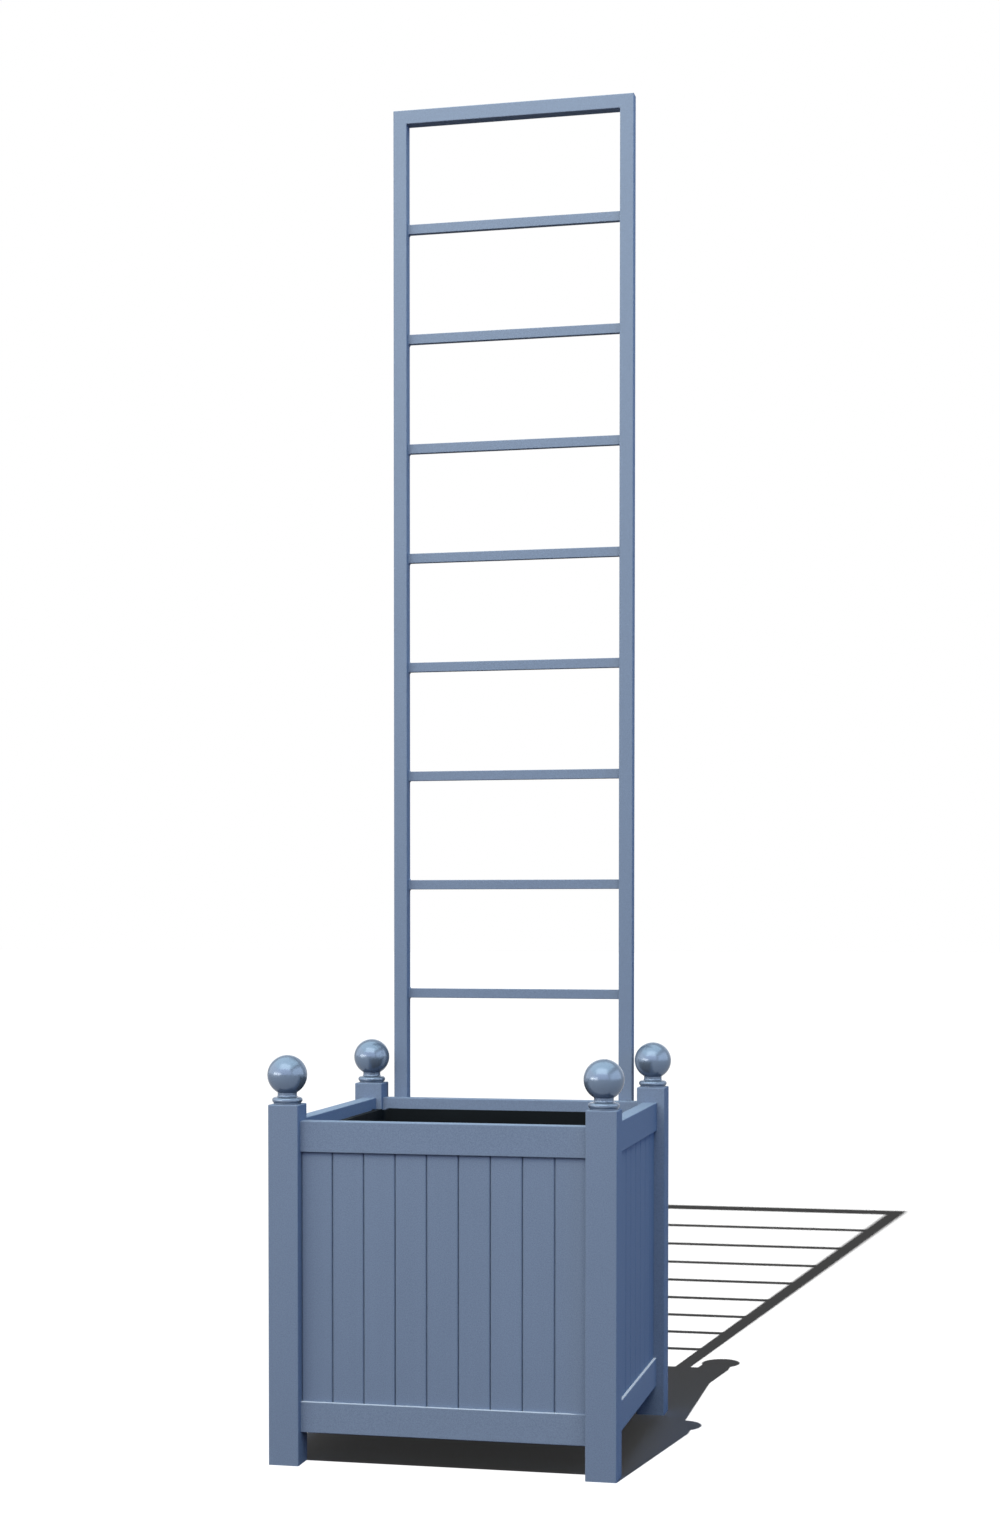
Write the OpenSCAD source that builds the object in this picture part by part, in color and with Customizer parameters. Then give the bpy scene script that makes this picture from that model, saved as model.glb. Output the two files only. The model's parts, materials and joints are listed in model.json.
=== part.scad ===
// Square planter box on four posts with ball finials, tongue and groove board
// sides, a lift-out liner and a ladder trellis bolted to its back.
// Millimetres, +Z up, front towards -Y. The ground is z = 0.

/* [Planter] */
// Outside width and depth over the posts
planter_w = 600; // [460:1:900]
// Height of the posts above the ground
post_h = 615; // [450:1:900]
// Outside width of the square posts
post_w = 53; // [50:1:80]
// Wall of the post tube
post_wall = 3; // [2:0.5:4]
// Rounding of the post edges
post_round = 2; // [1:0.5:4]

/* [Rails] */
// Height of a rail
rail_h = 53; // [45:1:80]
// Thickness of a rail, front to back
rail_t = 27; // [26:0.5:34]
// Wall of the rail
rail_wall = 2; // [1.5:0.25:2.5]
// Rounding of the rail edges
rail_round = 1.5; // [0.5:0.25:1.75]
// Distance that the rails lie behind the face of the posts
rail_inset = 15; // [8:0.5:16]
// Height of the bottom rails above the ground
bottom_rail_z = 55; // [30:1:150]
// Distance of the top rails below the top of the posts
top_rail_drop = 28; // [10:1:60]
// Thickness of the plate that closes the end of a rail
end_plate_t = 4; // [3:0.5:8]
// Length of the access slot in the back of a rail
access_slot_l = 34; // [28:1:60]
// Height of the access slot in the back of a rail
access_slot_h = 18; // [16:1:24]

/* [Boards] */
// Boards on each side
boards_per_side = 9; // [5:1:12]
// Thickness of a board
board_t = 12; // [9:0.5:12.5]
// Distance of the boards behind the face of the rails
board_setback = 5; // [3.5:0.25:6]
// Joint left open between two boards
board_gap = 1.5; // [0.1:0.1:2]
// Depth of the V cut on each long edge
board_v = 1.5; // [0.5:0.25:3]
// Length of the tongue
tongue_l = 5; // [3:0.5:8]
// Thickness of the tongue
tongue_t = 4; // [2:0.25:4.5]
// Clearance round a tongue in its groove
tongue_clear = 0.2; // [0.1:0.05:0.4]
// Depth of the channel that holds the board ends
channel_depth = 10; // [6:0.5:14]
// Clearance on each face of the boards in the channel
channel_clear = 0.2; // [0.1:0.05:0.4]
// Room left above the boards in the top channel
board_head_gap = 2; // [0.5:0.25:4]

/* [Finials] */
// Diameter of the ball
ball_d = 68; // [50:1:76]
// Diameter of the neck under the ball
neck_d = 33; // [24:0.5:36]
// Straight length of the neck
neck_h = 3.3; // [1:0.1:12]
// Rounding between the neck and the ball
neck_fillet = 2; // [1:0.25:3]
// Radius of the hollow between the neck and the bead
cove_r = 3.5; // [2:0.25:4]
// Diameter of the bead at the foot
bead_d = 52; // [50:0.5:56]
// Thickness of the bead
bead_t = 10.2; // [8:0.1:12]
// Height of the middle of the bead
bead_z = 6.7; // [6.5:0.1:9]
// Diameter of the face that stands on the post
finial_foot_d = 47; // [40:0.5:48]
// Thickness of the plate that closes the top of a post
cap_t = 5; // [3:0.5:10]
// Diameter of the stud that holds the finial
stud_d = 10; // [8:0.5:12]
// Length of the stud inside the finial
stud_up = 25; // [15:1:40]
// Thickness of the nut under the cap plate
stud_nut_t = 8; // [6:0.5:10]

/* [Liner] */
// Clearance between the liner and the posts
liner_clear = 3; // [2:0.5:10]
// Thickness of the liner
liner_wall = 2; // [1.5:0.25:4]
// Thickness of the liner floor
liner_floor = 3; // [2:0.25:6]
// Rounding of the liner corners
liner_round = 12; // [8:1:40]
// Distance of the liner rim below the top of the rails
liner_drop = 20; // [5:1:60]
// Clearance between the rim and the rails
rim_clear = 2; // [1:0.5:4]
// Height of the folded edge of the rim
rim_fold = 12; // [6:1:30]
// Diameter of a drain hole
drain_d = 14; // [8:1:24]
// Distance of the outer drain holes from the outside of the liner
drain_edge = 94; // [40:1:140]

/* [Bearers] */
// Distance between the outer bearers and the side rails
bearer_side_gap = 78; // [20:1:90]
// Width of a bearer
bearer_w = 40; // [30:1:60]
// Depth of a bearer
bearer_h = 20; // [12:1:40]
// Thickness of a bearer
bearer_t = 3; // [2:0.25:5]
// Room between the end of a bearer and the boards
bearer_end_gap = 0.5; // [0.25:0.25:0.75]
// Room between the web of a bearer and the rails
web_end_gap = 1; // [0.5:0.25:3]

/* [Trellis] */
// Height of the trellis above the ground
trellis_h = 2472; // [1700:1:3000]
// Distance between the trellis and the rear posts
trellis_side_gap = 15; // [12:1:60]
// Outside size of the square trellis tube
tube = 26; // [20:1:30]
// Wall of the trellis tube
tube_wall = 2; // [1.5:0.25:3]
// Rounding of the trellis tube edges
tube_round = 1.5; // [0.5:0.25:2]
// Distance of the lowest rung above the top of the posts
low_rung_up = 172; // [60:1:400]
// Height of a rung
rung_h = 18; // [12:1:24]
// Depth of a rung, front to back
rung_d = 12; // [8:0.5:16]
// Wall of a rung
rung_wall = 1.5; // [1:0.25:2]
// Rounding of the rung edges
rung_round = 1; // [0.25:0.25:1.25]
// Length of the plug inside the foot of an upright
tube_plug_l = 15; // [8:1:30]
// Thickness of the plug's flange under the upright
tube_plug_t = 2; // [1:0.25:4]

/* [Fixings] */
// Diameter of a rail bolt
rail_bolt_d = 8; // [6:0.5:8]
// Length of a rail bolt under its head
rail_bolt_l = 20; // [16:1:22]
// Diameter of a trellis bolt
trellis_bolt_d = 6; // [5:0.5:7]
// Height of the head of a trellis bolt
trellis_head_h = 3; // [2:0.25:4]
// Diameter of a bearer screw
screw_d = 4.2; // [3:0.1:4.8]
// Length of a bearer screw under its head
screw_l = 14; // [8:1:16]
// Height of the head of a bearer screw
screw_head_h = 2.6; // [2:0.1:4]
// Clearance of a bolt in a plain hole, on the radius
hole_clear = 0.2; // [0.1:0.05:0.3]
// Clearance of a thread in its nut, on the radius
thread_clear = 0.05; // [0.02:0.01:0.1]
// Height of the plug in the foot of a post
foot_plug_h = 18; // [10:1:28]
// Thickness of the plug's floor and ribs
foot_plug_t = 3; // [2:0.25:5]

/* [Hidden] */
$fn = 48;
cut = 1;                                     // how far a cutting tool overshoots

paint = [0.40, 0.48, 0.60];
paint_light = [0.47, 0.56, 0.69];
gloss = [0.45, 0.54, 0.68];
black = [0.07, 0.08, 0.09];
zinc = [0.72, 0.73, 0.75];

// Sides and corners are counted anticlockwise from above, from the front and
// from the front left corner.
FRONT = 0;
RIGHT = 1;
REAR = 2;
LEFT = 3;

// Fixings. Their ratios are to the diameter of the thread.
head_d_ratio = 1.75;                         // across the head of a bolt
head_h_ratio = 0.55;                         // height of the head of a bolt
screw_head_ratio = 1.9;                      // across the head of a screw
nut_af_ratio = 1.65;                         // across the flats of a nut
nut_t_ratio = 0.8;                           // thickness of a nut
socket_af_ratio = 0.6;                       // across the flats of a socket
socket_floor_ratio = 0.4;                    // floor of a socket, in head heights
root_ratio = 0.3;                            // shank inside its head, in head heights
thread_out = 3;                              // thread that stands out of a nut

// Planter
half_w = planter_w / 2;
post_c = half_w - post_w / 2;                // axis of a post
post_in = half_w - post_w;                   // inner face of a post
rail_len = 2 * post_in;
rail_face = half_w - rail_inset;             // outer face of a rail
rail_back = rail_face - rail_t;              // inner face of a rail
top_rail_z = post_h - top_rail_drop - rail_h;
rail_top = post_h - top_rail_drop;
bottom_rail_top = bottom_rail_z + rail_h;

// Section of a rail: u runs inwards from its face, v from the edge with the
// channel
channel_u0 = board_setback - channel_clear;
channel_u1 = board_setback + board_t + channel_clear;
hollow_v0 = channel_depth + rail_wall;
hollow_v1 = rail_h - rail_wall;
slot_edge = 3;                               // from the hollow's step to an access slot
bolt_u = rail_t / 2;
bolt_v = hollow_v0 + slot_edge + access_slot_h / 2;
bolt_z = [bottom_rail_z + rail_h - bolt_v, top_rail_z + bolt_v];

// Boards
board_pitch = rail_len / boards_per_side;
board_z0 = bottom_rail_top - channel_depth;
board_z1 = top_rail_z + channel_depth - board_head_gap;
board_back = rail_face - board_setback - board_t;

// Finials
ball_r = ball_d / 2;
neck_r = neck_d / 2;
bead_r = bead_t / 2;
bead_u = bead_d / 2 - bead_r;
fillet_u = neck_r + neck_fillet;
fillet_z = bead_z + bead_r + cove_r + neck_h;
ball_z = fillet_z + sqrt(pow(ball_r + neck_fillet, 2) - pow(fillet_u, 2));
stud_down = cap_t + stud_nut_t + thread_out; // stud below the top of the post
stud_nut_af = nut_af_ratio * stud_d;

// Liner
liner_half = post_in - liner_clear;
liner_top = rail_top - liner_drop;
rim_out = rail_back - rim_clear;
rim_half = liner_half - liner_round;
drain_y = liner_half - drain_edge;

// Bearers
bearer_pitch = rail_back - bearer_side_gap - bearer_w / 2;
ledge_mid = (rail_back + board_back) / 2;    // middle of the ledge they lie on
bearer_top = bottom_rail_top + bearer_t;
bearer_half = board_back - bearer_end_gap;
web_half = rail_back - web_end_gap;
screw_head_d = screw_head_ratio * screw_d;

// Trellis
rungs = 8;                                   // each is a node of its own
trellis_w = rail_len - 2 * trellis_side_gap;
trellis_front = rail_face;
trellis_back = trellis_front + tube;
upright_x = (trellis_w - tube) / 2;
rung_len = trellis_w - 2 * tube;
rung_y = trellis_back - rung_d / 2;
rung_pitch = (trellis_h - tube / 2 - post_h - low_rung_up) / rungs;
trellis_foot = bottom_rail_z;
trellis_nut_t = nut_t_ratio * trellis_bolt_d;
trellis_nut_af = nut_af_ratio * trellis_bolt_d;
trellis_bolt_l = tube + rail_wall + trellis_nut_t + thread_out;
trellis_head_d = head_d_ratio * trellis_bolt_d;

// Rail bolts
rail_head_d = head_d_ratio * rail_bolt_d;
rail_head_h = head_h_ratio * rail_bolt_d;
rail_nut_af = nut_af_ratio * rail_bolt_d;
rail_nut_t = nut_t_ratio * rail_bolt_d;

// The origin is under the middle of the whole object. The balls reach past the
// posts in front and the trellis reaches past them behind, so the planter's own
// middle lies a little forward of the origin.
front_reach = max(half_w, post_c + ball_r);
rear_reach = max(front_reach, trellis_back + trellis_head_h);
y_shift = (front_reach - rear_reach) / 2;

// ---- Placing ----

module placed() {
  translate([0, y_shift, 0]) children();
}

// Children are drawn for the front side and turned to the side asked for
module on_side(side) {
  placed() rotate([0, 0, 90 * side]) children();
}

// Children are drawn on the axis of the front left post
module on_post(corner) {
  on_side(corner) translate([-post_c, -post_c, 0]) children();
}

// A drawing (u, v) becomes a bar along X: u runs to +Y and v to +Z
module along_x(length) {
  translate([-length / 2, 0, 0]) rotate([90, 0, 90]) linear_extrude(length) children();
}

// Children point along +Z and are turned to point along +X or +Y
module to_x() {
  rotate([0, 90, 0]) children();
}
module to_y() {
  rotate([-90, 0, 0]) children();
}

// ---- Sections ----

module rounded_rect(w, h, r) {
  square([w - 2 * r, h], center = true);
  square([w, h - 2 * r], center = true);
  for (x = [-1, 1], y = [-1, 1])
    translate([x * (w / 2 - r), y * (h / 2 - r)]) circle(r);
}

module tube_section(w, h, wall, r) {
  difference() {
    rounded_rect(w, h, r);
    square([w - 2 * wall, h - 2 * wall], center = true);
  }
}

// Outline of a rail with the channel for the boards open at v = 0
module rail_outline() {
  difference() {
    translate([rail_t / 2, rail_h / 2]) rounded_rect(rail_t, rail_h, rail_round);
    translate([channel_u0, -cut]) square([channel_u1 - channel_u0, channel_depth + cut]);
  }
}

// Hollow of a rail, which steps down beside the channel
module rail_hollow() {
  u1 = rail_t - rail_wall;
  polygon([
    [rail_wall, hollow_v0], [rail_wall, hollow_v1], [u1, hollow_v1], [u1, rail_wall],
    [channel_u1 + rail_wall, rail_wall], [channel_u1 + rail_wall, hollow_v0]
  ]);
}

// ---- Fixings, with the seat of the head at z = 0 and the shank along -Z ----

module dome_head(d, h, socket_af) {
  dome_r = (pow(d / 2, 2) + pow(h, 2)) / (2 * h);
  difference() {
    rotate_extrude() intersection() {
      translate([0, h - dome_r]) circle(dome_r);
      square([d / 2, h]);
    }
    translate([0, 0, h * socket_floor_ratio])
      cylinder(d = socket_af / cos(30), h = h, $fn = 6);
  }
}

module bolt(d, l, head_d, head_h) {
  dome_head(head_d, head_h, socket_af_ratio * d);
  translate([0, 0, -l]) cylinder(d = d, h = l + head_h * root_ratio);
}

module hex_nut(d, af, t) {
  difference() {
    cylinder(d = af / cos(30), h = t, $fn = 6);
    translate([0, 0, -cut]) cylinder(r = d / 2 + thread_clear, h = t + 2 * cut);
  }
}

// ---- Posts ----

// The two bolts of a post at one height, as drawn on the front left post:
// one runs along X into the front rail and one along Y into the left rail
module post_bolt_axes() {
  off = rail_inset + bolt_u - post_w / 2;
  for (z = bolt_z) {
    translate([0, off, z]) children();
    translate([off, 0, z]) mirror([1, -1, 0]) children();
  }
}

module post(corner) {
  color(paint) on_post(corner) difference() {
    linear_extrude(post_h) tube_section(post_w, post_w, post_wall, post_round);
    post_bolt_axes()
      to_x() cylinder(r = rail_bolt_d / 2 + hole_clear, h = post_w / 2 + cut);
  }
}

module post_cap() {
  side = post_w - 2 * post_wall;
  translate([0, 0, post_h - cap_t]) difference() {
    linear_extrude(cap_t) square(side, center = true);
    translate([0, 0, -cut]) cylinder(r = stud_d / 2 + hole_clear, h = cap_t + 2 * cut);
  }
}

module post_caps() {
  color(paint) for (corner = [0:3]) on_post(corner) post_cap();
}

// Cup with a cross of ribs, pushed into the foot of the post
module foot_plug() {
  side = post_w - 2 * post_wall;
  inner = side - 2 * foot_plug_t;
  linear_extrude(foot_plug_t) square(side, center = true);
  linear_extrude(foot_plug_h) {
    difference() {
      square(side, center = true);
      square(inner, center = true);
    }
    square([side, foot_plug_t], center = true);
    square([foot_plug_t, side], center = true);
  }
}

module foot_plugs() {
  color(black) for (corner = [0:3]) on_post(corner) foot_plug();
}

// ---- Finials ----

// Half outline from the foot up: foot, bead, cove, neck, fillet and ball
module finial_outline() {
  square([finial_foot_d / 2, bead_z]);
  translate([0, bead_z - bead_r]) square([bead_u, bead_t]);
  translate([bead_u, bead_z]) circle(bead_r);
  difference() {
    square([neck_r + cove_r, bead_z + bead_r + cove_r]);
    translate([neck_r + cove_r, bead_z + bead_r + cove_r]) circle(cove_r);
  }
  square([neck_r, fillet_z]);
  difference() {
    polygon([[0, fillet_z], [fillet_u, fillet_z], [0, ball_z]]);
    translate([fillet_u, fillet_z]) circle(neck_fillet);
  }
  translate([0, ball_z]) intersection() {
    circle(ball_r);
    translate([0, -ball_r]) square([ball_r, ball_d]);
  }
}

module finial(corner) {
  color(gloss) on_post(corner) translate([0, 0, post_h]) difference() {
    rotate_extrude() finial_outline();
    translate([0, 0, -cut]) cylinder(r = stud_d / 2 + thread_clear, h = stud_up + 2 * cut);
  }
}

module finial_studs() {
  color(zinc) for (corner = [0:3])
    on_post(corner) translate([0, 0, post_h - stud_down])
      cylinder(d = stud_d, h = stud_down + stud_up);
}

module finial_nuts() {
  color(zinc) for (corner = [0:3])
    on_post(corner) translate([0, 0, post_h - cap_t - stud_nut_t])
      hex_nut(stud_d, stud_nut_af, stud_nut_t);
}

// ---- Rails ----

// Slot in the back of a rail, through which its end bolt is put in and turned
module access_slot() {
  straight = access_slot_l - access_slot_h;
  depth = rail_wall + 2 * cut;
  for (x = [-1, 1])
    translate([x * straight / 2, 0, 0]) to_y() cylinder(d = access_slot_h, h = depth);
  translate([-straight / 2, 0, -access_slot_h / 2]) cube([straight, depth, access_slot_h]);
}

// A rail along X with its face at y = 0 and its channel at z = 0. It is one
// extruded bar, closed at its ends by plates that take the bolts.
module rail() {
  slot_x = rail_len / 2 - end_plate_t - access_slot_l / 2;
  difference() {
    along_x(rail_len) rail_outline();
    along_x(rail_len - 2 * end_plate_t) rail_hollow();
    translate([-rail_len / 2 - cut, bolt_u, bolt_v])
      to_x() cylinder(r = rail_bolt_d / 2 + hole_clear, h = rail_len + 2 * cut);
    for (x = [-1, 1])
      translate([x * slot_x, rail_t - rail_wall - cut, bolt_v]) access_slot();
  }
}

// Where the trellis is bolted to a rear rail, as drawn on the front side
module trellis_bolt_holes(z) {
  for (x = [-1, 1])
    translate([x * upright_x, -cut, z])
      to_y() cylinder(r = trellis_bolt_d / 2 + hole_clear, h = rail_wall + 2 * cut);
}

module top_rail(side) {
  color(paint) on_side(side) translate([0, -rail_face, top_rail_z]) difference() {
    rail();
    if (side == REAR) trellis_bolt_holes(bolt_v);
  }
}

// The bottom rail is the same bar turned over, so its channel faces up
module bottom_rail(side) {
  color(paint) on_side(side) translate([0, -rail_face, bottom_rail_z]) difference() {
    translate([0, 0, rail_h]) mirror([0, 0, 1]) rail();
    if (side == REAR) trellis_bolt_holes(rail_h - bolt_v);
    if (side == FRONT || side == REAR)
      for (i = [-1:1])
        translate([i * bearer_pitch, rail_face - ledge_mid, rail_h - rail_wall - cut])
          cylinder(r = screw_d / 2 + thread_clear, h = rail_wall + 2 * cut);
  }
}

module rail_bolts() {
  color(zinc) for (corner = [0:3])
    on_post(corner) post_bolt_axes()
      translate([post_w / 2 + end_plate_t, 0, 0])
        to_x() bolt(rail_bolt_d, rail_bolt_l, rail_head_d, rail_head_h);
}

module rail_nuts() {
  color(zinc) for (corner = [0:3])
    on_post(corner) post_bolt_axes()
      translate([post_w / 2 - post_wall - rail_nut_t, 0, 0])
        to_x() hex_nut(rail_bolt_d, rail_nut_af, rail_nut_t);
}

// ---- Boards ----

// Section of one board: x along the side and y inwards from its face. A board
// at the end of the side is cut square where it meets the post.
module board_section(first, last) {
  w = board_pitch - board_gap;
  tongue_y = (board_t - tongue_t) / 2 + board_v / 2;
  groove_y0 = tongue_y - tongue_clear;
  groove_y1 = tongue_y + tongue_t + tongue_clear;
  groove_l = tongue_l + tongue_clear;
  left_v = first ? 0 : board_v;
  right_v = last ? 0 : board_v;
  difference() {
    union() {
      polygon([
        [left_v, 0], [w - right_v, 0], [w, right_v], [w, board_t],
        [0, board_t], [0, left_v]
      ]);
      if (!last) translate([w - cut, tongue_y]) square([tongue_l + cut, tongue_t]);
    }
    if (!first) translate([-cut, groove_y0]) square([groove_l + cut, groove_y1 - groove_y0]);
  }
}

module boards(side) {
  color(paint_light) on_side(side) for (i = [0:boards_per_side - 1])
    translate([
      -rail_len / 2 + i * board_pitch + board_gap / 2, -rail_face + board_setback, board_z0
    ])
      linear_extrude(board_z1 - board_z0)
        board_section(i == 0, i == boards_per_side - 1);
}

// ---- Bearers and liner ----

// T bar from the front ledge to the rear ledge, with its web cut back to fit
// between the rails
module bearer(i) {
  color(paint) placed() translate([i * bearer_pitch, 0, 0]) {
    difference() {
      translate([-bearer_w / 2, -bearer_half, bottom_rail_top])
        cube([bearer_w, 2 * bearer_half, bearer_t]);
      for (y = [-1, 1])
        translate([0, y * ledge_mid, bottom_rail_top - cut])
          cylinder(r = screw_d / 2 + hole_clear, h = bearer_t + 2 * cut);
    }
    translate([-bearer_t / 2, -web_half, bearer_top - bearer_h])
      cube([bearer_t, 2 * web_half, bearer_h - bearer_t / 2]);
  }
}

module bearer_screws() {
  color(zinc) placed() for (i = [-1:1], y = [-1, 1])
    translate([i * bearer_pitch, y * ledge_mid, bearer_top])
      bolt(screw_d, screw_l, screw_head_d, screw_head_h);
}

// Section of the rim along one side: a flat lip with its edge folded down, with
// its origin at the outer top edge of the tub
module rim_section() {
  lip = rim_out - liner_half;
  translate([-liner_wall, -liner_wall]) square([lip + liner_wall, liner_wall]);
  translate([lip - liner_wall, -rim_fold]) square([liner_wall, rim_fold]);
}

// Open tub on the bearers. The rim stops where its corners start to round, and so
// passes the posts and the balls when the tub is lifted.
module liner() {
  tub_h = liner_top - bearer_top;
  inner = 2 * (liner_half - liner_wall);
  color(black) placed() difference() {
    union() {
      translate([0, 0, bearer_top])
        linear_extrude(tub_h) rounded_rect(2 * liner_half, 2 * liner_half, liner_round);
      for (side = [0:3])
        rotate([0, 0, 90 * side]) translate([0, liner_half, liner_top])
          along_x(2 * rim_half) rim_section();
    }
    translate([0, 0, bearer_top + liner_floor])
      linear_extrude(tub_h) rounded_rect(inner, inner, liner_round - liner_wall);
    for (x = [-1, 1], y = [-1:1])
      translate([x * bearer_pitch / 2, y * drain_y, bearer_top - cut])
        cylinder(d = drain_d, h = liner_floor + 2 * cut);
  }
}

// ---- Trellis ----

// Mitred end of the trellis frame, seen from the front: x across and y up
module mitre(points) {
  translate([0, trellis_back + cut, 0])
    rotate([90, 0, 0]) linear_extrude(tube + 2 * cut) polygon(points);
}

module trellis_upright(x) {
  outer = trellis_w / 2;
  color(paint) placed() difference() {
    intersection() {
      translate([x * upright_x, trellis_front + tube / 2, trellis_foot])
        linear_extrude(trellis_h - trellis_foot)
          tube_section(tube, tube, tube_wall, tube_round);
      mitre([
        [x * outer, trellis_foot - cut], [x * outer, trellis_h],
        [x * (outer - tube), trellis_h - tube], [x * (outer - tube), trellis_foot - cut]
      ]);
    }
    for (z = bolt_z)
      translate([x * upright_x, trellis_front - cut, z])
        to_y() cylinder(r = trellis_bolt_d / 2 + hole_clear, h = tube + 2 * cut);
  }
}

module trellis_top_rail() {
  outer = trellis_w / 2;
  color(paint) placed() intersection() {
    translate([0, trellis_front + tube / 2, trellis_h - tube / 2])
      along_x(trellis_w) tube_section(tube, tube, tube_wall, tube_round);
    mitre([
      [-outer, trellis_h], [outer, trellis_h],
      [outer - tube, trellis_h - tube], [tube - outer, trellis_h - tube]
    ]);
  }
}

// Rungs are counted from the top and lie flush with the back of the frame
module trellis_rung(i) {
  color(paint_light) placed()
    translate([0, rung_y, trellis_h - tube / 2 - i * rung_pitch])
      along_x(rung_len) tube_section(rung_d, rung_h, rung_wall, rung_round);
}

module trellis_plugs() {
  body = tube - 2 * tube_wall;
  color(black) placed() for (x = [-1, 1])
    translate([x * upright_x, trellis_front + tube / 2, trellis_foot]) {
      linear_extrude(tube_plug_l) square(body, center = true);
      translate([0, 0, -tube_plug_t])
        linear_extrude(tube_plug_t) rounded_rect(tube, tube, tube_round);
    }
}

module trellis_bolts() {
  color(zinc) placed() for (x = [-1, 1], z = bolt_z)
    translate([x * upright_x, trellis_back, z])
      to_y() bolt(trellis_bolt_d, trellis_bolt_l, trellis_head_d, trellis_head_h);
}

module trellis_nuts() {
  color(zinc) placed() for (x = [-1, 1], z = bolt_z)
    translate([x * upright_x, trellis_front - rail_wall - trellis_nut_t, z])
      to_y() hex_nut(trellis_bolt_d, trellis_nut_af, trellis_nut_t);
}

// ---- The object ----

post(0);  // post_front_left
post(1);  // post_front_right
post(2);  // post_rear_right
post(3);  // post_rear_left
post_caps();
foot_plugs();
finial(0);  // finial_front_left
finial(1);  // finial_front_right
finial(2);  // finial_rear_right
finial(3);  // finial_rear_left
finial_studs();
finial_nuts();
top_rail(FRONT);  // top_rail_front
top_rail(RIGHT);  // top_rail_right
top_rail(REAR);  // top_rail_rear
top_rail(LEFT);  // top_rail_left
bottom_rail(FRONT);  // bottom_rail_front
bottom_rail(RIGHT);  // bottom_rail_right
bottom_rail(REAR);  // bottom_rail_rear
bottom_rail(LEFT);  // bottom_rail_left
boards(FRONT);  // boards_front
boards(RIGHT);  // boards_right
boards(REAR);  // boards_rear
boards(LEFT);  // boards_left
rail_bolts();
rail_nuts();
bearer(-1);  // bearer_left
bearer(0);  // bearer_centre
bearer(1);  // bearer_right
bearer_screws();
liner();
trellis_upright(-1);  // trellis_upright_left
trellis_upright(1);  // trellis_upright_right
trellis_top_rail();
trellis_rung(1);  // trellis_rung_1
trellis_rung(2);  // trellis_rung_2
trellis_rung(3);  // trellis_rung_3
trellis_rung(4);  // trellis_rung_4
trellis_rung(5);  // trellis_rung_5
trellis_rung(6);  // trellis_rung_6
trellis_rung(7);  // trellis_rung_7
trellis_rung(8);  // trellis_rung_8
trellis_plugs();
trellis_bolts();
trellis_nuts();
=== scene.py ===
import json
import random
from math import acos, atan2, copysign, degrees, pi, radians, sqrt

import bmesh
import bpy
from mathutils import Matrix, Vector


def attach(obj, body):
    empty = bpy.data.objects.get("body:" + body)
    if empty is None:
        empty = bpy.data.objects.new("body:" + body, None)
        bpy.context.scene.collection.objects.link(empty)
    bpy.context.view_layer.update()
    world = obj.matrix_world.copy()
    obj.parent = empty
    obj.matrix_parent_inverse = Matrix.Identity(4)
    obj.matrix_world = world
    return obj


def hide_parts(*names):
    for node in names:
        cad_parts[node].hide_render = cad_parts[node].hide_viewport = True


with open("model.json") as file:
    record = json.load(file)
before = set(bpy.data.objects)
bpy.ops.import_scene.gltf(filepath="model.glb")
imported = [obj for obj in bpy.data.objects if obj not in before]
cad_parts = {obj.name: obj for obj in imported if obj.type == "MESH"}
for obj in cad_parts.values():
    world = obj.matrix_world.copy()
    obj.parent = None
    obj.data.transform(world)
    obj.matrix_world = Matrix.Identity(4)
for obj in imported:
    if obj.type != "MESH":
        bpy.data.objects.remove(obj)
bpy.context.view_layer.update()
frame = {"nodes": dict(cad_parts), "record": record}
nodes = frame["nodes"]
scene = bpy.context.scene
scene.view_settings.view_transform = "Standard"

# New pieces are drawn in millimetres about the planter's own upright axis, which
# stands a little in front of the origin. new_piece() brings them into the frame.
MM = 0.001
PLANTER_Y = -3.25

# ---- The camera, set from the photograph ----

PHOTO_WIDTH = 1000
PHOTO_HEIGHT = 1520
FOCAL_PX = 2371.3                       # focal length, in pixels of the photograph
AXIS_PX = Vector((476.1, 984.9))        # where the camera's axis meets the photograph
SENSOR_MM = 36
CAMERA_PLACE = (0.931, -4.144, 0.931)
CAMERA_TURN = radians(12.741)           # to the left of straight ahead
CAMERA_TILT = radians(-1.605)           # down


def make_camera():
    data = bpy.data.cameras.new("camera")
    data.sensor_fit = "AUTO"
    data.sensor_width = SENSOR_MM
    data.lens = FOCAL_PX / PHOTO_HEIGHT * SENSOR_MM
    data.shift_x = (PHOTO_WIDTH / 2 - AXIS_PX.x) / PHOTO_HEIGHT
    data.shift_y = (AXIS_PX.y - PHOTO_HEIGHT / 2) / PHOTO_HEIGHT
    camera = bpy.data.objects.new("camera", data)
    camera.location = CAMERA_PLACE
    camera.rotation_euler = (pi / 2 + CAMERA_TILT, 0, CAMERA_TURN)
    scene.collection.objects.link(camera)
    scene.camera = camera


make_camera()

# ---- Node trees: small helpers ----

NOISE_LOW, NOISE_HIGH = 0.3, 0.7        # a noise texture keeps mostly between these


def grey(level):
    return (level, level, level, 1)


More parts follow.
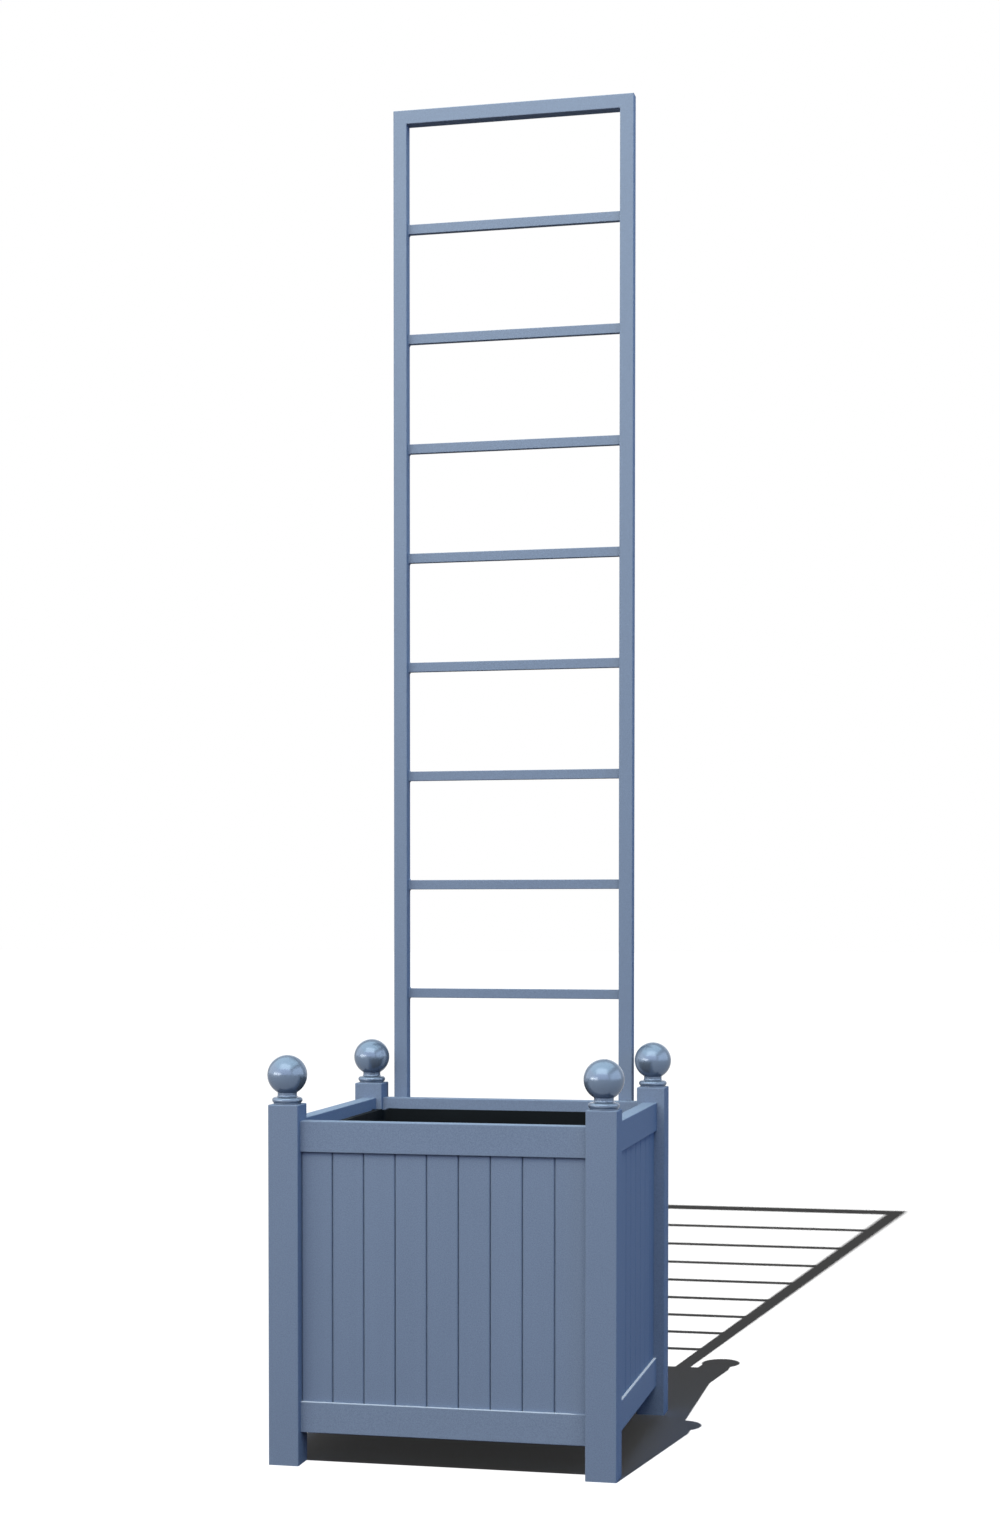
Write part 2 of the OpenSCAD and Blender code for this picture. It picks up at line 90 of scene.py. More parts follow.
class Recipe:
    """A node tree that is built up one node at a time."""

    def __init__(self, tree):
        self.tree = tree
        tree.nodes.clear()

    def add(self, kind, inputs=None, **settings):
        """Each input is a constant, or the output of another node."""
        node = self.tree.nodes.new(kind)
        for name, value in settings.items():
            setattr(node, name, value)
        for key, value in (inputs or {}).items():
            if isinstance(value, bpy.types.NodeSocket):
                self.join(value, node.inputs[key])
            else:
                node.inputs[key].default_value = value
        return node

    def join(self, source, target):
        self.tree.links.new(source, target)

    def place(self):
        return self.add("ShaderNodeTexCoord").outputs["Object"]

    def stretch(self, where, scale):
        return self.add("ShaderNodeMapping", {"Vector": where, "Scale": scale}).outputs[0]

    def noise(self, where, scale, detail=2.0, roughness=0.5):
        node = self.add("ShaderNodeTexNoise", {
            "Vector": where, "Scale": scale, "Detail": detail, "Roughness": roughness})
        return node.outputs["Fac"]

    def spread(self, noise, low, high):
        """Stretches a noise to run from low to high."""
        node = self.add("ShaderNodeMapRange", {
            "Value": noise, "From Min": NOISE_LOW, "From Max": NOISE_HIGH,
            "To Min": low, "To Max": high})
        return node.outputs["Result"]

    def math(self, operation, *values):
        return self.add("ShaderNodeMath", dict(enumerate(values)), operation=operation).outputs[0]

    def tint(self, colour, strength):
        node = self.add("ShaderNodeVectorMath", {0: colour, "Scale": strength}, operation="SCALE")
        return node.outputs[0]

    def bump(self, height, depth, strength):
        return self.add("ShaderNodeBump", {
            "Height": height, "Distance": depth, "Strength": strength})

    def paint(self, ior):
        """The inputs of the material's one shader."""
        shader = self.add("ShaderNodeBsdfPrincipled", {"IOR": ior})
        self.add("ShaderNodeOutputMaterial", {"Surface": shader.outputs[0]})
        return shader.inputs

    def seen_directly(self):
        """1 for rays that show the background itself, straight or in a reflection."""
        path = self.add("ShaderNodeLightPath").outputs
        seen = self.math("MAXIMUM", path["Is Camera Ray"], path["Is Glossy Ray"])
        return self.math("MAXIMUM", seen, path["Is Transmission Ray"])


def new_material(name):
    material = bpy.data.materials.new(name)
    material.use_nodes = True
    return material, Recipe(material.node_tree)


# ---- Floor and background ----

FLOOR_SIZE = 120.0
FLOOR_SEEN = 0.8          # how light it is where it is seen, straight or in a reflection
FLOOR_TONE = 0.01         # how light it is for the light that it throws at the planter
FLOOR_LIFT = 0.022        # a faint glow that keeps the shadow a dark grey


def floor_material():
    material, recipe = new_material("studio_floor")
    seen = recipe.seen_directly()
    tone = recipe.add("ShaderNodeMix", {
        "Factor": seen, "A": grey(FLOOR_TONE), "B": grey(FLOOR_SEEN)}, data_type="RGBA")
    diffuse = recipe.add("ShaderNodeBsdfDiffuse", {"Color": tone.outputs["Result"]})
    lift = recipe.add("ShaderNodeEmission", {"Color": grey(FLOOR_LIFT), "Strength": seen})
    both = recipe.add("ShaderNodeAddShader", {0: diffuse.outputs[0], 1: lift.outputs[0]})
    recipe.add("ShaderNodeOutputMaterial", {"Surface": both.outputs[0]})
    return material


def make_floor():
    mesh = bpy.data.meshes.new("floor")
    shape = bmesh.new()
    bmesh.ops.create_grid(shape, x_segments=1, y_segments=1, size=FLOOR_SIZE / 2)
    shape.to_mesh(mesh)
    shape.free()
    mesh.materials.append(floor_material())
    sheet = bpy.data.objects.new("floor", mesh)
    scene.collection.objects.link(sheet)
    return sheet


floor = make_floor()

# ---- Light ----
# The floor lamp lights only the floor, and throws the planter's shadow on it. The softboxes
# light only the planter. "glow" and "right_sky" are there for the finials' reflections, and
# "right_sky" takes the place of the bluish "right", which shades the planter's right side.
# "rail_edges" is small, strong and almost overhead. It brings out the bright upper edges of
# the bottom rails.

FILL_LEVEL = 0.045
WHITE_LEVEL = 1.0                       # the background, where it is seen
FLOOR_LIGHT = 4.1                       # with FLOOR_SEEN it makes the floor white
FLOOR_LAMP_PLACE = (-0.197, -3.346, 5.302)
FLOOR_LAMP_RADIUS = 0.012

# what it lights, place, target, size, colour. A colour of 1 is as bright as a white surface.
SOFTBOXES = {
    "overhead": ("all", (-1.1, -1.6, 4.7), (-1.1, -1.6, 0), (8.8, 8.0), (1.7, 2.0, 1.85)),
    "front": ("all", (-0.6, -5.6, 3.0), (-0.6, 0, 3.0), (9.8, 3.9), (1.56, 1.5, 1.68)),
    "front_high": ("all", (-0.2, -3.2, 4.6), (0, -0.2, 2.0), (5.2, 3.0), (2.6, 2.35, 1.95)),
    "left": ("all", (-5.5, -1.6, 2.75), (0, -1.6, 2.75), (8.0, 3.9), (1.8, 1.7, 1.6)),
    "behind": ("all", (0, 6.0, 2.75), (0, 0, 2.75), (10.0, 3.9), (0.6, 0.65, 0.75)),
    "front_top": ("body", (-0.3, -1.8, 3.3), (0, 0.3, 2.2), (1.2, 1.0), (5.0, 3.2, 1.0)),
    "right": ("body", (5.6, -1.0, 2.75), (0, -1.0, 2.75), (9.2, 3.9), (0.03, 0.47, 1.33)),
    "glow": ("finials", (-4.6, -4.6, 1.4), (0, 0, 0.9), (5.0, 0.7), (12.0, 9.8, 7.4)),
    "right_sky": (
        "finials", (5.6, -1.0, 2.75), (0, -1.0, 2.75), (9.2, 3.9), (1.85, 1.9, 1.95)),
    "rail_edges": (
        "bottom_rails", (0.45, -0.45, 4.7), (0.45, -0.45, 0), (0.12, 0.12), (8800, 7200, 4800)),
}


def make_world():
    world = bpy.data.worlds.new("studio")
    world.use_nodes = True
    recipe = Recipe(world.node_tree)
    fill, white = (
        recipe.add("ShaderNodeBackground", {"Color": grey(1), "Strength": level})
        for level in (FILL_LEVEL, WHITE_LEVEL))
    mix = recipe.add("ShaderNodeMixShader", {
        0: recipe.seen_directly(), 1: fill.outputs[0], 2: white.outputs[0]})
    recipe.add("ShaderNodeOutputWorld", {"Surface": mix.outputs[0]})
    scene.world = world


def light_group(name, state, things):
    """Things that a lamp lights (INCLUDE), or doesn't light (EXCLUDE)."""
    group = bpy.data.collections.new(name)
    for thing in things:
        group.objects.link(thing)
    for entry in group.collection_objects:
        entry.light_linking.link_state = state
    return group


def make_floor_lamp(receivers):
    """A small lamp near the planter that lights the floor as evenly as a distant one.

    It doesn't fade with distance, and is stronger towards the rim of the floor, where its
    light falls at a slant.
    """
    data = bpy.data.lights.new("floor_lamp", "POINT")
    data.energy = 4 * pi * FLOOR_LIGHT
    data.shadow_soft_size = FLOOR_LAMP_RADIUS
    data.use_nodes = True
    recipe = Recipe(data.node_tree)
    ray = recipe.add("ShaderNodeTexCoord").outputs["Normal"]
    downward = recipe.add("ShaderNodeSeparateXYZ", {0: ray}).outputs["Z"]
    level = recipe.math("DIVIDE", 1.0, recipe.math("ABSOLUTE", downward))
    steady = recipe.add("ShaderNodeLightFalloff", {"Strength": level}).outputs["Constant"]
    emission = recipe.add("ShaderNodeEmission", {"Strength": steady})
    recipe.add("ShaderNodeOutputLight", {"Surface": emission.outputs[0]})
    lamp = bpy.data.objects.new("floor_lamp", data)
    lamp.location = FLOOR_LAMP_PLACE
    lamp.light_linking.receiver_collection = receivers
    scene.collection.objects.link(lamp)


def make_softbox(name, place, target, size, colour, receivers):
    strength = max(colour)
    data = bpy.data.lights.new(name, "AREA")
    data.shape = "RECTANGLE"
    data.size, data.size_y = size
    data.energy = strength * pi * size[0] * size[1]
    data.color = [part / strength for part in colour]
    lamp = bpy.data.objects.new(name, data)
    lamp.location = place
    lamp.rotation_mode = "QUATERNION"
    lamp.rotation_quaternion = (Vector(target) - Vector(place)).to_track_quat("-Z", "Y")
    lamp.visible_camera = False
    lamp.light_linking.receiver_collection = receivers
    scene.collection.objects.link(lamp)


def make_lights():
    """Comes after the floor and the finials, because the lamps tell them apart."""
    make_world()
    make_floor_lamp(light_group("floor_only", "INCLUDE", [floor]))
    rails = [nodes["bottom_rail_front"], nodes["bottom_rail_right"]]
    groups = {
        "all": light_group("all_but_floor", "EXCLUDE", [floor]),
        "body": light_group("all_but_floor_and_finials", "EXCLUDE", [floor, *finials]),
        "finials": light_group("finials_only", "INCLUDE", finials),
        "bottom_rails": light_group("bottom_rails_only", "INCLUDE", rails),
    }
    for name, (lit, *setting) in SOFTBOXES.items():
        make_softbox(name, *setting, groups[lit])


# ---- Finishes ----
# A pattern's scale is how often it repeats in a metre. The depth of a bump is in metres.

PAINT_BLUE = (0.155, 0.210, 0.320)
FINIAL_BLUE = (0.126, 0.174, 0.258)
LINER_BLACK = (0.003, 0.005, 0.007)
PLUG_BLACK = (0.015, 0.016, 0.018)
ZINC = (0.62, 0.63, 0.64)
ZINC_IOR = 1.5


def speckled_paint(recipe, place, colour, ior, under, *tones):
    """Gives a paint a fine speckle on slow clouds, in its colour and as a bump over another.

    Returns the shader's inputs, and the speckle.
    """
    clouds = recipe.noise(place, scale=4.0, detail=3.0)
    speckle = recipe.noise(place, scale=650.0, detail=3.0, roughness=0.7)
    tone = recipe.math("MULTIPLY", recipe.spread(clouds, 0.985, 1.015),
                       recipe.spread(speckle, 0.82, 1.18))
    for more in tones:
        tone = recipe.math("MULTIPLY", tone, more)
    paint = recipe.paint(ior)
    recipe.join(recipe.tint(colour, tone), paint["Base Color"])
    bump = recipe.bump(speckle, depth=0.00008, strength=0.5)
    recipe.join(under.outputs[0], bump.inputs["Normal"])
    recipe.join(bump.outputs[0], paint["Normal"])
    return paint, speckle


def powder_coat(name, colour, roughness, ior):
    """Baked powder paint on steel: a faint orange peel with a fine speckle over it."""
    material, recipe = new_material(name)
    place = recipe.place()
    peel = recipe.bump(recipe.noise(place, scale=260.0, detail=1.0), depth=0.0002, strength=0.3)
    paint, speckle = speckled_paint(recipe, place, colour, ior, peel)
    recipe.join(recipe.spread(speckle, roughness - 0.05, roughness + 0.05), paint["Roughness"])
    return material


def painted_timber(name, colour, roughness, ior):
    """Brushed paint on planed boards. The grain runs up them and only just shows through."""
    material, recipe = new_material(name)
    place = recipe.place()
    along = recipe.stretch(place, (1.0, 1.0, 0.03))
    grain = recipe.noise(along, scale=420.0, detail=3.0, roughness=0.6)
    streaks = recipe.noise(along, scale=60.0)
    board = recipe.add("ShaderNodeAttribute", attribute_name="board_tone").outputs["Fac"]
    ridges = recipe.bump(grain, depth=0.00015, strength=0.4)
    paint, _ = speckled_paint(recipe, place, colour, ior, ridges,
                              recipe.spread(streaks, 0.985, 1.015), board)
    recipe.join(recipe.spread(grain, roughness - 0.05, roughness + 0.05), paint["Roughness"])
    return material


def gloss_paint(name, colour, roughness, ior, metal, rim):
    """Sprayed metallic gloss on the turned finials: smooth, with a long shallow wave."""
    material, recipe = new_material(name)
    place = recipe.place()
    clouds = recipe.noise(place, scale=22.0, detail=3.0)
    wave = recipe.noise(place, scale=90.0, detail=1.0)
    dust = recipe.noise(place, scale=1500.0, detail=1.0)
    tone = recipe.math("MULTIPLY", recipe.spread(clouds, 0.97, 1.03),
                       recipe.spread(dust, 0.98, 1.02))
    paint = recipe.paint(ior)
    paint["Metallic"].default_value = metal
    paint["Specular Tint"].default_value = grey(rim)
    recipe.join(recipe.tint(colour, tone), paint["Base Color"])
    recipe.join(recipe.spread(clouds, roughness - 0.03, roughness + 0.05), paint["Roughness"])
    recipe.join(recipe.bump(wave, depth=0.0003, strength=0.1).outputs[0], paint["Normal"])
    return material


def moulded_plastic(name, colour, roughness, ior, stipple):
    """Black plastic with the mould's stipple, greyer where it has been rubbed."""
    material, recipe = new_material(name)
    place = recipe.place()
    scuffs = recipe.noise(place, scale=14.0, detail=5.0, roughness=0.65)
    grain = recipe.noise(place, scale=700.0)
    tone = recipe.math("MULTIPLY", recipe.spread(scuffs, 0.85, 1.25),
                       recipe.spread(grain, 0.9, 1.1))
    paint = recipe.paint(ior)
    recipe.join(recipe.tint(colour, tone), paint["Base Color"])
    recipe.join(recipe.spread(scuffs, roughness + 0.08, roughness - 0.08), paint["Roughness"])
    recipe.join(recipe.bump(grain, depth=stipple, strength=0.5).outputs[0], paint["Normal"])
    return material


def zinc_plate(name):
    """Bright zinc on the fixings, with its dull bloom."""
    material, recipe = new_material(name)
    place = recipe.place()
    bloom = recipe.noise(place, scale=160.0, detail=4.0, roughness=0.6)
    grain = recipe.noise(place, scale=2400.0)
    metal = recipe.paint(ZINC_IOR)
    metal["Metallic"].default_value = 1.0
    recipe.join(recipe.tint(ZINC, recipe.spread(bloom, 0.85, 1.08)), metal["Base Color"])
    recipe.join(recipe.spread(bloom, 0.48, 0.28), metal["Roughness"])
    recipe.join(recipe.bump(grain, depth=0.00003, strength=0.4).outputs[0], metal["Normal"])
    return material


FINISHES = {
    "frame_paint": powder_coat("frame_paint", PAINT_BLUE, roughness=0.72, ior=1.18),
    "board_paint": painted_timber("board_paint", PAINT_BLUE, roughness=0.72, ior=1.18),
    "finial_paint": gloss_paint("finial_paint", FINIAL_BLUE, roughness=0.22, ior=1.4,
                                metal=0.45, rim=0.5),
    "liner_black": moulded_plastic("liner_black", LINER_BLACK, roughness=0.65, ior=1.18,
                                   stipple=0.0003),
    "plug_black": moulded_plastic("plug_black", PLUG_BLACK, roughness=0.5, ior=1.45,
                                  stipple=0.0002),
    "fastener_zinc": zinc_plate("fastener_zinc"),
}

for part in frame["record"]["subparts"]:
    for spot in nodes[part["node"]].material_slots:
        spot.material = FINISHES[part["material_slot"]]

# ---- Shaping ----

CORNERS = {
    "front_left": (-1, -1),
    "front_right": (1, -1),
    "rear_right": (1, 1),
    "rear_left": (-1, 1),
}
SIDES = ("front", "right", "rear", "left")      # anticlockwise from above
X, Y, Z = range(3)
RIGHT = Vector((1, 0, 0))
FRONT = Vector((0, -1, 0))
UP = Vector((0, 0, 1))
NEAR = 1e-4                # millimetres that count as none
SQUARE_ON = 0.999          # cosine of the angle between a face's normal and its direction
SHARP = radians(30)        # an edge turns more than this where it isn't shaded as a round


def new_piece(name, shape, slot, body, *replaced):
    """Makes a finished piece of a shape that was drawn in millimetres."""
    bmesh.ops.scale(shape, vec=(MM, MM, MM), verts=shape.verts)
    bmesh.ops.translate(shape, vec=(0, PLANTER_Y * MM, 0), verts=shape.verts)
    for face in shape.faces:
        face.smooth = True
    for edge in shape.edges:
        edge.smooth = edge.is_manifold and edge.calc_face_angle() < SHARP
    mesh = bpy.data.meshes.new(name)
    shape.to_mesh(mesh)
    shape.free()
    mesh.materials.append(FINISHES[slot])
    piece = bpy.data.objects.new(name, mesh)
    scene.collection.objects.link(piece)
    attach(piece, body)
    if replaced:
        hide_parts(*replaced)
    flat = piece.modifiers.new("flat_faces", "WEIGHTED_NORMAL")
    flat.keep_sharp = True
    return piece


def pattern_of(shape):
    """Keeps a shape as a mesh, to be stamped as often as it is needed."""
    mesh = bpy.data.meshes.new("pattern")
    shape.to_mesh(mesh)
    shape.free()
    return mesh


def stamp(shape, pattern, matrix):
    first = len(shape.verts)
    shape.from_mesh(pattern)
    shape.verts.ensure_lookup_table()
    bmesh.ops.transform(shape, matrix=matrix, verts=shape.verts[first:])


def turn_to(side):
    """Brings what was drawn at the front to another side."""
    return Matrix.Rotation(SIDES.index(side) * pi / 2, 4, "Z")


def block(size, centre):
    shape = bmesh.new()
    bmesh.ops.create_cube(shape, size=1)
    bmesh.ops.scale(shape, vec=size, verts=shape.verts)
    bmesh.ops.translate(shape, vec=centre, verts=shape.verts)
    return shape


def faces_towards(shape, way):
    return [face for face in shape.faces if face.normal.dot(way) > SQUARE_ON]


def open_up(shape, faces):
    bmesh.ops.delete(shape, geom=faces, context="FACES_ONLY")


def round_edges(shape, edges, radius, segments):
    bmesh.ops.bevel(shape, geom=edges, offset=radius, offset_type="OFFSET", segments=segments,
                    profile=0.5, affect="EDGES", material=-1)


def edges_along(shape, axis):
    found = []
    for edge in shape.edges:
        across = edge.verts[0].co - edge.verts[1].co
        across[axis] = 0
        if across.length < NEAR:
            found.append(edge)
    return found


def edges_at(shape, height):
    return [edge for edge in shape.edges
            if all(abs(vert.co.z - height) < NEAR for vert in edge.verts)]


def verts_in(parts):
    return [part for part in parts if isinstance(part, bmesh.types.BMVert)]


# ---- Posts ----
# A square tube, closed by a plate that is welded in, ground flush and painted over.

POST_WIDTH = 53
POST_HEIGHT = 615
POST_WALL = 3
POST_ROUND = 2
POST_AT = 273.5            # a post's axis from the planter's


def make_post(corner):
    x, y = CORNERS[corner]
    shape = block((POST_WIDTH, POST_WIDTH, POST_HEIGHT), (0, 0, POST_HEIGHT / 2))
    open_up(shape, faces_towards(shape, -UP))
    closed = [edge for edge in shape.edges if not edge.is_boundary]
    round_edges(shape, closed, POST_ROUND, segments=4)
    bmesh.ops.solidify(shape, geom=shape.faces[:], thickness=POST_WALL)
    bmesh.ops.translate(shape, vec=(x * POST_AT, y * POST_AT, 0), verts=shape.verts)
    new_piece("painted_post_" + corner, shape, "frame_paint", "planter",
              "post_" + corner, "post_caps")


for corner in CORNERS:
    make_post(corner)

# ---- Finials ----
# Turned in one piece from the foot up: foot, bead, cove, neck, fillet and ball.

FOOT_RADIUS = 23.5
FOOT_CHAMFER = 0.5
BEAD_CENTRE = (20.9, 6.7)
BEAD_RADIUS = 5.1
COVE_RADIUS = 3.5
NECK_RADIUS = 16.5
NECK_HEIGHT = 3.3
FILLET_RADIUS = 2
BALL_RADIUS = 34
BEAD_STEPS, COVE_STEPS, FILLET_STEPS, BALL_STEPS = 16, 8, 5, 48
FACETS = 96                # round a finial


class Profile:
    """A turned outline, drawn in the plane y = 0 as straights and arcs that follow on."""

    def __init__(self, radius, height):
        self.shape = bmesh.new()
        self.tip = self.shape.verts.new((radius, 0, height))

    def to(self, radius, height):
        made = bmesh.ops.extrude_vert_indiv(self.shape, verts=[self.tip])
        self.tip = made["verts"][0]
        self.tip.co = (radius, 0, height)

    def arc(self, centre, angle, steps):
        """Goes round a centre, anticlockwise as drawn with the radius to the right."""
        made = bmesh.ops.spin(self.shape, geom=[self.tip], cent=(centre[0], 0, centre[1]),
                              axis=(0, -1, 0), angle=radians(angle), steps=steps)
        self.tip = verts_in(made["geom_last"])[0]

    def turned(self):
        wire = self.shape.verts[:] + self.shape.edges[:]
        bmesh.ops.spin(self.shape, geom=wire, cent=(0, 0, 0), axis=(0, 0, 1), angle=2 * pi,
                       steps=FACETS, use_merge=True)
        bmesh.ops.remove_doubles(self.shape, verts=self.shape.verts, dist=NEAR)
        bmesh.ops.recalc_face_normals(self.shape, faces=self.shape.faces)
        return self.shape


def finial_shape():
    """Works out where each curve runs into the next, then draws and turns the outline."""
    bead_u, bead_v = BEAD_CENTRE
    foot_lean = degrees(acos((FOOT_RADIUS - bead_u) / BEAD_RADIUS))
    bead_top = bead_v + BEAD_RADIUS
    cove = (NECK_RADIUS + COVE_RADIUS, bead_top + COVE_RADIUS)
    fillet = (NECK_RADIUS + FILLET_RADIUS, cove[1] + NECK_HEIGHT)
    ball_v = fillet[1] + sqrt((BALL_RADIUS + FILLET_RADIUS) ** 2 - fillet[0] ** 2)
    ball_lean = degrees(atan2(ball_v - fillet[1], fillet[0]))
    profile = Profile(0, 0)
    profile.to(FOOT_RADIUS - FOOT_CHAMFER, 0)
    profile.to(FOOT_RADIUS, FOOT_CHAMFER)
    profile.to(FOOT_RADIUS, bead_v - sqrt(BEAD_RADIUS ** 2 - (FOOT_RADIUS - bead_u) ** 2))
    profile.arc(BEAD_CENTRE, foot_lean + 90, BEAD_STEPS)
    profile.to(cove[0], bead_top)
    profile.arc(cove, -90, COVE_STEPS)
    profile.to(NECK_RADIUS, fillet[1])
    profile.arc(fillet, -ball_lean, FILLET_STEPS)
    profile.arc((0, ball_v), 90 + ball_lean, BALL_STEPS)
    return profile.turned()


def make_finial(corner):
    x, y = CORNERS[corner]
    shape = finial_shape()
    bmesh.ops.translate(shape, vec=(x * POST_AT, y * POST_AT, POST_HEIGHT), verts=shape.verts)
    return new_piece("turned_finial_" + corner, shape, "finial_paint", "planter",
                     "finial_" + corner)


finials = [make_finial(corner) for corner in CORNERS]
make_lights()

# ---- Boards ----
# Nine tongued and grooved boards on each side, with a V where two of them meet.

BOARDS = 9
RAIL_LENGTH = 494
BOARD_FACE = 280           # from the planter's axis
BOARD_THICK = 12
BOARD_BOTTOM = 98
BOARD_TOP = 542
BOARD_GAP = 1.5
BOARD_V = 1.5
TONGUE = 5
TONGUE_THICK = 4
TONGUE_PLAY = 0.2
FILLER = BOARD_GAP / 2     # closes the back half of the joint between a board and a post
ARRIS_ROUND = 0.5          # what sanding and paint take off the edges of the V
BOARD_SEED = 4
BOARD_TONES = (0.985, 1.015)


def board_outline(width, first, last):
    """A board's section from its left front edge round, with its face at y = 0."""
    tongue_low = (BOARD_THICK - TONGUE_THICK) / 2 + BOARD_V / 2
    tongue_high = tongue_low + TONGUE_THICK
    outline = [(BOARD_V, 0), (width - BOARD_V, 0), (width, BOARD_V)]
    if last:
        outline += [
            (width, BOARD_THICK / 2),
            (width + FILLER, BOARD_THICK / 2),
            (width + FILLER, BOARD_THICK),
        ]
    else:
        outline += [
            (width, tongue_low),
            (width + TONGUE, tongue_low),
            (width + TONGUE, tongue_high),
            (width, tongue_high),
            (width, BOARD_THICK),
        ]
    if first:
        outline += [
            (-FILLER, BOARD_THICK),
            (-FILLER, BOARD_THICK / 2),
            (0, BOARD_THICK / 2),
        ]
    else:
        outline += [
            (0, BOARD_THICK),
            (0, tongue_high + TONGUE_PLAY),
            (TONGUE + TONGUE_PLAY, tongue_high + TONGUE_PLAY),
            (TONGUE + TONGUE_PLAY, tongue_low - TONGUE_PLAY),
            (0, tongue_low - TONGUE_PLAY),
        ]
    return [*outline, (0, BOARD_V)]


def board_pattern(width, first, last, tone):
    shape = bmesh.new()
    ring = [shape.verts.new((x, y, 0)) for x, y in board_outline(width, first, last)]
    foot = shape.faces.new(ring)
    made = bmesh.ops.extrude_face_region(shape, geom=[foot])
    bmesh.ops.translate(shape, vec=(0, 0, BOARD_TOP - BOARD_BOTTOM),
                        verts=verts_in(made["geom"]))
    arrises = [edge for edge in edges_along(shape, Z) if edge.verts[0].co.y == 0]
    round_edges(shape, arrises, ARRIS_ROUND, segments=3)
    bmesh.ops.recalc_face_normals(shape, faces=shape.faces)
    layer = shape.faces.layers.float.new("board_tone")
    for face in shape.faces:
        face[layer] = tone
    return pattern_of(shape)


def make_boards(side):
    shape = bmesh.new()
    pitch = RAIL_LENGTH / BOARDS
    turn = turn_to(side)
    for number in range(BOARDS):
        pattern = board_pattern(pitch - BOARD_GAP, number == 0, number == BOARDS - 1,
                                random.uniform(*BOARD_TONES))
        left = number * pitch + BOARD_GAP / 2 - RAIL_LENGTH / 2
        stamp(shape, pattern, turn @ Matrix.Translation((left, -BOARD_FACE, BOARD_BOTTOM)))
    new_piece("painted_boards_" + side, shape, "board_paint", "planter", "boards_" + side)


random.seed(BOARD_SEED)
for side in SIDES:
    make_boards(side)

# ---- Welds on the trellis ----

RUNGS = 8
RUNG_PITCH = 209
RUNGS_FROM = 2459          # the middle of the top tube, from which the rungs are spaced
RUNG_HIGH = 18
RUNG_DEEP = 12
RUNG_ROUND = 1
RUNG_Y = 305
RUNG_END = 206             # the inner face of an upright
WELD_LEG = 2.2
WELD_CUTS = 3              # the steps of its hollow


def weld_pattern():
    """A small hollow fillet round the end of a rung, which starts at x = 0."""
    shape = block((WELD_LEG, RUNG_DEEP, RUNG_HIGH), (WELD_LEG / 2, 0, 0))
    open_up(shape, faces_towards(shape, RIGHT) + faces_towards(shape, -RIGHT))
    round_edges(shape, edges_along(shape, X), RUNG_ROUND, segments=3)
    bmesh.ops.subdivide_edges(shape, edges=edges_along(shape, X), cuts=WELD_CUTS,
                              use_grid_fill=False)
    for vert in shape.verts:
        proud = (WELD_LEG - vert.co.x) ** 2 / WELD_LEG
        vert.co.y += copysign(proud, vert.co.y)
        vert.co.z += copysign(proud, vert.co.z)
    return pattern_of(shape)


def make_welds():
    shape = bmesh.new()
    pattern = weld_pattern()
    for number in range(1, RUNGS + 1):
        for turn, x in ((0, -RUNG_END), (pi, RUNG_END)):
            place = Matrix.Translation((x, RUNG_Y, RUNGS_FROM - number * RUNG_PITCH))
            stamp(shape, pattern, place @ Matrix.Rotation(turn, 4, "Z"))
    new_piece("rung_welds", shape, "frame_paint", "planter")


make_welds()

# ---- Liner ----
# One moulded tub. Its wall is drawn as a sheet on the outside of the tub and on the
# underside of its lip, and then gets its thickness.

LINER_HALF = 244
LINER_BOTTOM = 111
LINER_TOP = 567
LINER_WALL = 2
LINER_ROUND = 12
LINER_FLOOR_ROUND = 6
LIP_OUT = 256
LIP_FOLD = 12
LIP_FOLD_ROUND = 2.5
DRAIN_RADIUS = 7
DRAIN_FACETS = 24
DRAINS = [(x, y) for x in (-80, 80) for y in (-150, 0, 150)]


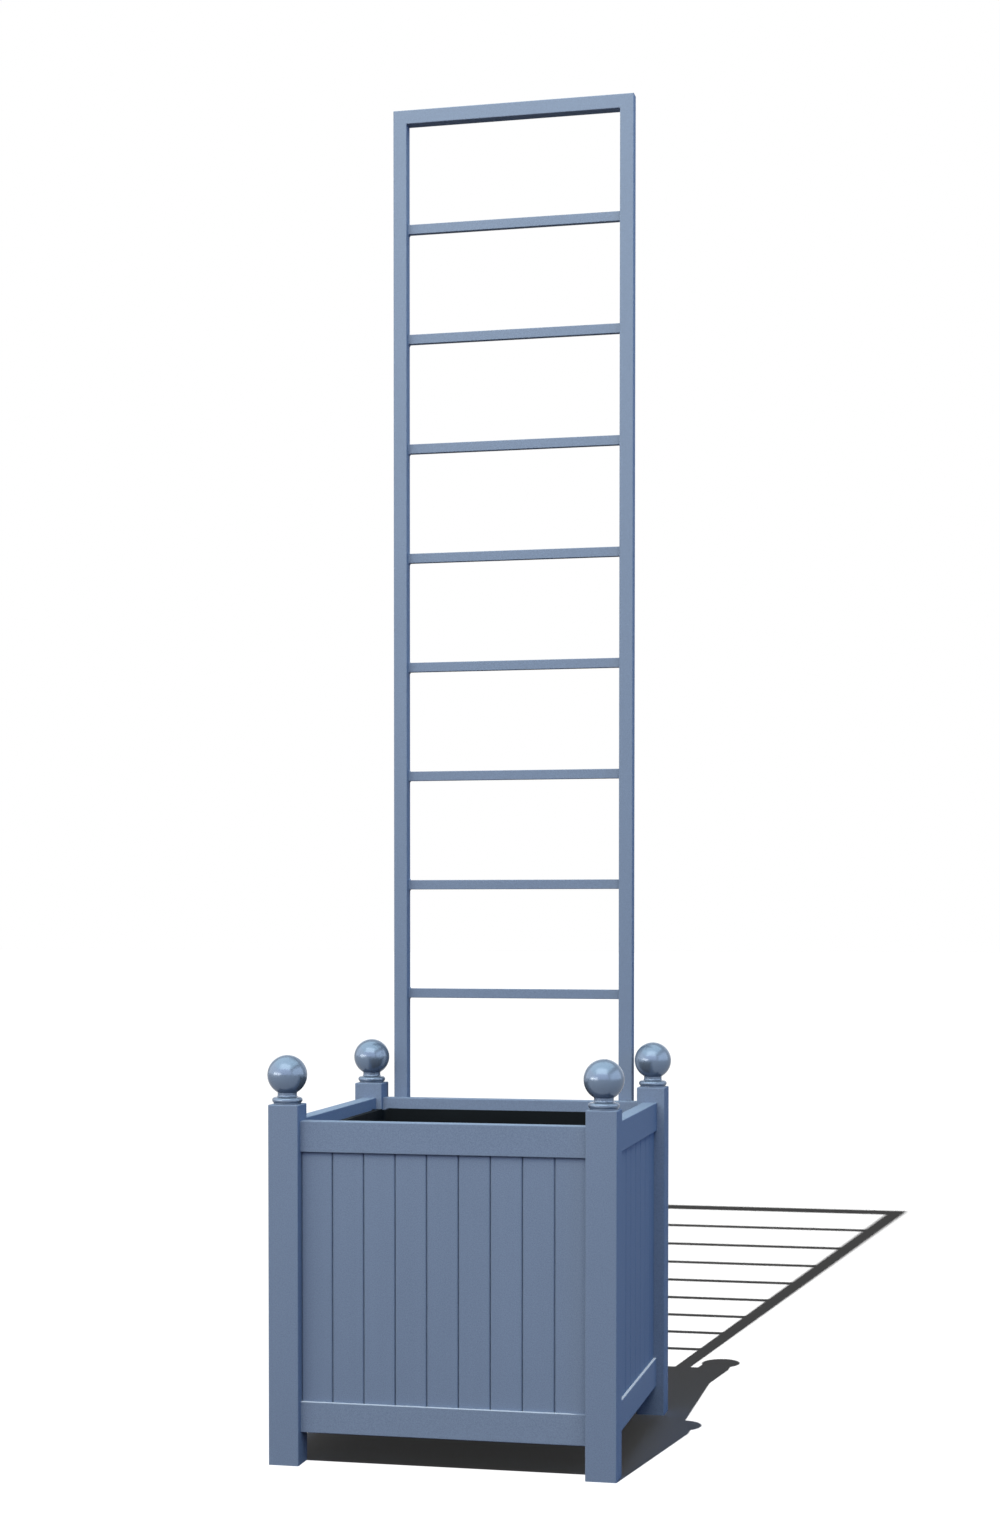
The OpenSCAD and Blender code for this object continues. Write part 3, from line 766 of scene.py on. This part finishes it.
def cut_drains(shape):
    """Fills the floor again round six holes."""
    base = faces_towards(shape, -UP)
    rim = [edge for edge in shape.edges if sum(face in base for face in edge.link_faces) == 1]
    open_up(shape, base)
    for x, y in DRAINS:
        made = bmesh.ops.create_circle(shape, cap_ends=False, segments=DRAIN_FACETS,
                                       radius=DRAIN_RADIUS,
                                       matrix=Matrix.Translation((x, y, LINER_BOTTOM)))
        rim += {edge for vert in made["verts"] for edge in vert.link_edges}
    bmesh.ops.triangle_fill(shape, use_beauty=True, use_dissolve=False, edges=rim)


def add_lips(shape, top):
    """Draws the straight edges of the mouth outwards, then folds them down."""
    for side in SIDES:
        out = turn_to(side).to_3x3() @ FRONT
        straight = [edge for edge in edges_at(shape, top)
                    if edge.is_boundary and edge.calc_length() > LINER_HALF
                    and all(vert.co.dot(out) > LINER_HALF - NEAR for vert in edge.verts)]
        moves = (out * (LIP_OUT - LINER_WALL - LINER_HALF), UP * (LINER_WALL - LIP_FOLD))
        for move in moves:
            made = bmesh.ops.extrude_edge_only(shape, edges=straight)
            ends = verts_in(made["geom"])
            bmesh.ops.translate(shape, vec=move, verts=ends)
            folded = straight
            straight = [part for part in made["geom"] if isinstance(part, bmesh.types.BMEdge)
                        and all(vert in ends for vert in part.verts)]
        round_edges(shape, folded, LIP_FOLD_ROUND, segments=4)


def make_liner():
    top = LINER_TOP - LINER_WALL
    height = top - LINER_BOTTOM
    shape = block((2 * LINER_HALF, 2 * LINER_HALF, height), (0, 0, LINER_BOTTOM + height / 2))
    open_up(shape, faces_towards(shape, UP))
    round_edges(shape, edges_along(shape, Z), LINER_ROUND, segments=6)
    round_edges(shape, edges_at(shape, LINER_BOTTOM), LINER_FLOOR_ROUND, segments=4)
    cut_drains(shape)
    add_lips(shape, top)
    bmesh.ops.recalc_face_normals(shape, faces=shape.faces)
    base = [face for face in shape.faces if face.calc_center_median().z < LINER_BOTTOM + NEAR]
    if base[0].normal.z > 0:
        bmesh.ops.reverse_faces(shape, faces=shape.faces)
    bmesh.ops.solidify(shape, geom=shape.faces[:], thickness=LINER_WALL)
    new_piece("moulded_liner", shape, "liner_black", "liner", "liner")


make_liner()
